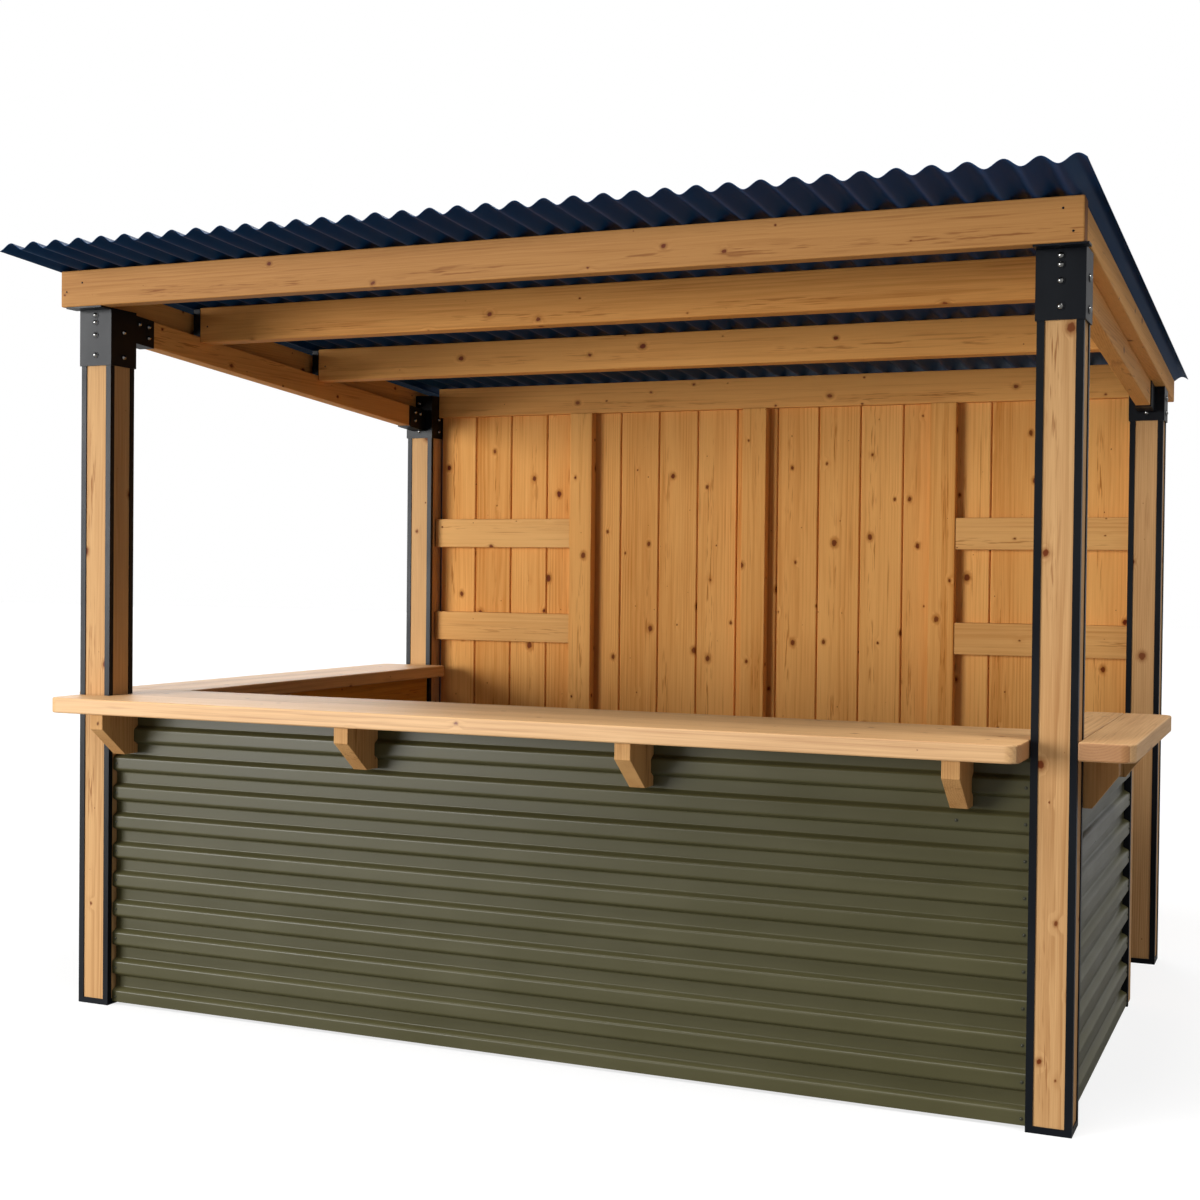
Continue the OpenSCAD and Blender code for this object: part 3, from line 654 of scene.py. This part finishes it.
plan += rounded((low[0] + plan_round, high[1] - plan_round), 90)
timbers("plank_right_counter_inner", [(plan, lift, 1)], counter_pine, "counter_pine",
        ["right_counter_inner"], ease=0.0025)

# Corbels: pine brackets under the counters, with a short nose and a straight slope back to the wall.
# Sawn from 45 mm plank, their backs scribed to the ribs of the cladding, screwed through it to the studs.


def rib_height(p):
    """Height of a folded rib at a phase, 1 at its outer flat."""
    q = abs((p % 1.0) - 0.5) * 2
    return min(1.0, max(0.0, (1 - rib_flat - q) / (1 - 2 * rib_flat)))


corbel_pine = pine_finish("corbel_pine_sawn", (0.64, 0.355, 0.135, 1), (0.35, 0.15, 0.042, 1),
                          (0.14, 0.04, 0.005, 1))
corbel_thick = 0.045
corbel_high = 0.128
nose_high = 0.045
toe_out = 0.04
first_phase = fold_out + (under - corbel_high - cladding_foot) / rib_pitch
last_phase = ribs + fold_out
folds = [i + k for i in range(ribs + 1) for k in (fold_in, fold_out, 1 - fold_out, 1 - fold_in)]
back = [first_phase] + [p for p in folds if first_phase < p < last_phase] + [last_phase]
scribed = [(-rib_depth * (1 - rib_height(p)), cladding_foot + (p - fold_out) * rib_pitch) for p in back]
for side, count, reach_out in (("front", 4, 0.145), ("left", 3, 0.1), ("right", 2, 0.102)):
    out_way = Vector(rib_back[side])
    low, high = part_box(side + "_corbels")
    profile = [(reach_out, under), (reach_out, under - nose_high), (toe_out, under - corbel_high)] + scribed
    axis = 0 if side == "front" else 1
    first, last = low[axis], high[axis] - corbel_thick
    face = {"front": high[1] - rib_depth, "left": high[0] - rib_depth, "right": low[0] + rib_depth}[side]
    parts = []
    for i in range(count):
        spot = first + (last - first) * i / (count - 1)
        if side == "front":
            outline = [(spot, face - d, z) for d, z in profile]
            parts.append((outline, (corbel_thick, 0, 0), 2))
        else:
            outline = [(face + d * out_way.x, spot, z) for d, z in profile]
            parts.append((outline, (0, corbel_thick, 0), 2))
    timbers("corbel_row_" + side, parts, corbel_pine, "frame_pine", [side + "_corbels"], ease=0.0015)

# Back wall: seventeen upright tongue-and-groove boards with vee joints, three battens and four shelf rails.
# Knotty planed pine, nailed to the back beam. The rails run between the posts and the outer battens.

row_tree, given, out, row_keys = growing("row_of_boards", [
    ("Geometry", "Geometry"), ("Count", "Int"), ("Step", "Vector"), ("Seed", "Int"),
    ("Material", "Material")])
line = wire(row_tree, "GeometryNodeMeshLine", {"Count": given["Count"], "Offset": given["Step"]},
            mode="OFFSET")
row = wire(row_tree, "GeometryNodeInstanceOnPoints", {
    "Points": line.outputs[0], "Instance": given["Geometry"]})
tint = wire(row_tree, "FunctionNodeRandomValue", {"Seed": given["Seed"]}, data_type="FLOAT")
row = wire(row_tree, "GeometryNodeStoreNamedAttribute", {
    "Geometry": row.outputs[0], "Name": "tone", "Value": tint.outputs[1]},
    data_type="FLOAT", domain="INSTANCE")
cut = wire(row_tree, "FunctionNodeRandomValue", {
    0: (0.0, -0.05, -0.02), 1: (9.0, 0.05, 0.03), "Seed": given["Seed"]}, data_type="FLOAT_VECTOR")
row = wire(row_tree, "GeometryNodeStoreNamedAttribute", {
    "Geometry": row.outputs[0], "Name": "shift", "Value": cut.outputs[0]},
    data_type="FLOAT_VECTOR", domain="INSTANCE")
row = wire(row_tree, "GeometryNodeRealizeInstances", {0: row.outputs[0]})
row = wire(row_tree, "GeometryNodeSetMaterial", {
    "Geometry": row.outputs[0], "Material": given["Material"]})
row_tree.links.new(row.outputs[0], out[0])

# The wall pine is its own honey tone, made paler and brighter than the wood as painted light that lifts the
# shaded inside of the stall; the battens share it.
wall_pine = pine_finish("wall_pine_honey_painted_light", (0.87, 0.445, 0.135, 1), (0.52, 0.175, 0.022, 1),
                        (0.13, 0.018, 0.001, 1), ring=0.007, knots=1.35, gloss=0.05)
low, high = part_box("back_wall")
boards = 17
board_w = (high[0] - low[0]) / boards
vee = 0.0035
seam = 0.002
tongue_from, tongue_to = 0.55, 0.8
x0, x1 = low[0] + seam, low[0] + board_w - seam
tongue_front = low[1] + tongue_from * (high[1] - low[1])
tongue_back = low[1] + tongue_to * (high[1] - low[1])
profile = [(x0, low[1] + vee), (x0 + vee, low[1]), (x1 - vee, low[1]), (x1, low[1] + vee),
           (x1, tongue_front), (x1 + seam, tongue_front), (x1 + seam, tongue_back), (x1, tongue_back),
           (x1, high[1]), (x0, high[1]),
           (x0, tongue_back), (x0 - seam, tongue_back), (x0 - seam, tongue_front), (x0, tongue_front)]
outline = [(x, y, low[2]) for x, y in profile]
board = timber_mesh("back_board", [(outline, (0, 0, high[2] - low[2]), 2)], ease=0.0005)
board.attributes.remove(board.attributes["tone"])
back_boards = grown("back_wall_boards", board, row_tree, row_keys, {
    "Count": boards, "Step": (board_w, 0.0, 0.0), "Seed": 5, "Material": wall_pine})
fit(back_boards, None, "wall_pine", "back_wall")
batten_low, batten_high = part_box("back_battens")
batten_w = 0.095
batten_step = 0.72
parts = []
for i in range(3):
    x = batten_low[0] + batten_step * i
    parts.append(block((x, batten_low[1], batten_low[2]),
                       (x + batten_w, batten_high[1], batten_high[2]), 2))
timbers("upright_battens", parts, wall_pine, "wall_pine", ["back_battens"], ease=0.003)
low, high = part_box("shelf_rails")
rail_pine = pine_finish("rail_pine_pale", (0.78, 0.43, 0.15, 1), (0.54, 0.235, 0.058, 1),
                        (0.14, 0.026, 0.002, 1), ring=0.008, gloss=0.08)
rail_high = 0.115
parts = []
for z in (low[2], high[2] - rail_high):
    parts.append(block((low[0], low[1], z), (batten_low[0], high[1], z + rail_high), 0))
    parts.append(block((batten_high[0], low[1], z), (high[0], high[1], z + rail_high), 0))
timbers("shelf_rail_boards", parts, rail_pine, "wall_pine", ["shelf_rails"], ease=0.003)

# Stage: a pale floor under soft light, and the camera at the photograph's angle.
# A wide lamp in front lights the inside, high ones light the tops, and a low one lights the back.
# The white room fills the rest, and shows white to the camera and in reflections.

scene = bpy.context.scene
scene.view_settings.view_transform = "Standard"
room = bpy.data.worlds.new("white_room")
scene.world = room
room.use_nodes = True
tree = room.node_tree
seen = wire(tree, "ShaderNodeLightPath")
direct = calc(tree, "MAXIMUM", seen.outputs["Is Camera Ray"], seen.outputs["Is Transmission Ray"])
shown = calc(tree, "MAXIMUM", direct, calc(tree, "MULTIPLY", seen.outputs["Is Glossy Ray"], 0.42))
level = ramp(tree, shown, 0.0, 1.0, 0.17, 1.0)
tree.links.new(level, tree.nodes["Background"].inputs["Strength"])
tree.nodes["Background"].inputs["Color"].default_value = (1, 1, 1, 1)

ground = bpy.data.meshes.new("studio_floor")
half = 40
ground.from_pydata([(-half, -half, 0), (half, -half, 0), (half, half, 0), (-half, half, 0)],
                   [], [(0, 1, 2, 3)])
floor = bpy.data.objects.new("studio_floor", ground)
bpy.context.collection.objects.link(floor)
pale = bpy.data.materials.new("pale_floor")
pale.use_nodes = True
tree = pale.node_tree
shader = tree.nodes["Principled BSDF"]
shader.inputs["Base Color"].default_value = (0.28, 0.28, 0.28, 1)
shader.inputs["Roughness"].default_value = 0.9
shader.inputs["Specular IOR Level"].default_value = 0.1
shader.inputs["Emission Color"].default_value = (1, 1, 1, 1)
seen = wire(tree, "ShaderNodeLightPath")
glow = calc(tree, "MULTIPLY", seen.outputs["Is Camera Ray"], 0.72)
tree.links.new(glow, shader.inputs["Emission Strength"])
ground.materials.append(pale)


def lamp(name, kind, strength, place, target, **settings):
    """A lamp that looks at a target."""
    light = bpy.data.lights.new(name, kind)
    light.energy = strength
    for key, value in settings.items():
        setattr(light, key, value)
    holder = bpy.data.objects.new(name, light)
    aim = (Vector(place) - Vector(target)).to_track_quat("Z", "Y")
    holder.matrix_world = Matrix.Translation(place) @ aim.to_matrix().to_4x4()
    bpy.context.collection.objects.link(holder)


lamp("front_softbox", "AREA", 1950, (-8.3, -11.8, 2.0), (0, 0.4, 1.3),
     shape="RECTANGLE", size=6.4, size_y=5.4)
lamp("high_front", "SUN", 1.5, (-1.5, -3.0, 7), (0, 0, 0), angle=math.radians(30))
lamp("high_right", "SUN", 1.7, (3, -1.2, 8), (0, 0, 0), angle=math.radians(25))
lamp("back_fill", "SUN", 1.1, (-4.2, 6.0, 2.6), (0, 0, 0), angle=math.radians(40))

camera_data = bpy.data.cameras.new("photo_camera")
camera_data.sensor_width = 36.0
camera_data.lens = 51.162
yaw, pitch, roll = math.radians(23.406), math.radians(-1.001), math.radians(0.6)
ahead = Vector((-math.sin(yaw) * math.cos(pitch), math.cos(yaw) * math.cos(pitch), math.sin(pitch)))
across = Vector((math.cos(yaw), math.sin(yaw), 0))
upward = across.cross(ahead)
right = math.cos(roll) * across + math.sin(roll) * upward
upright = -math.sin(roll) * across + math.cos(roll) * upward
camera = bpy.data.objects.new("photo_camera", camera_data)
eye = (2.0302, -5.2296, 1.3416)
turn = Matrix((right, upright, -ahead)).transposed().to_4x4()
camera.matrix_world = Matrix.Translation(eye) @ turn
bpy.context.collection.objects.link(camera)
scene.camera = camera
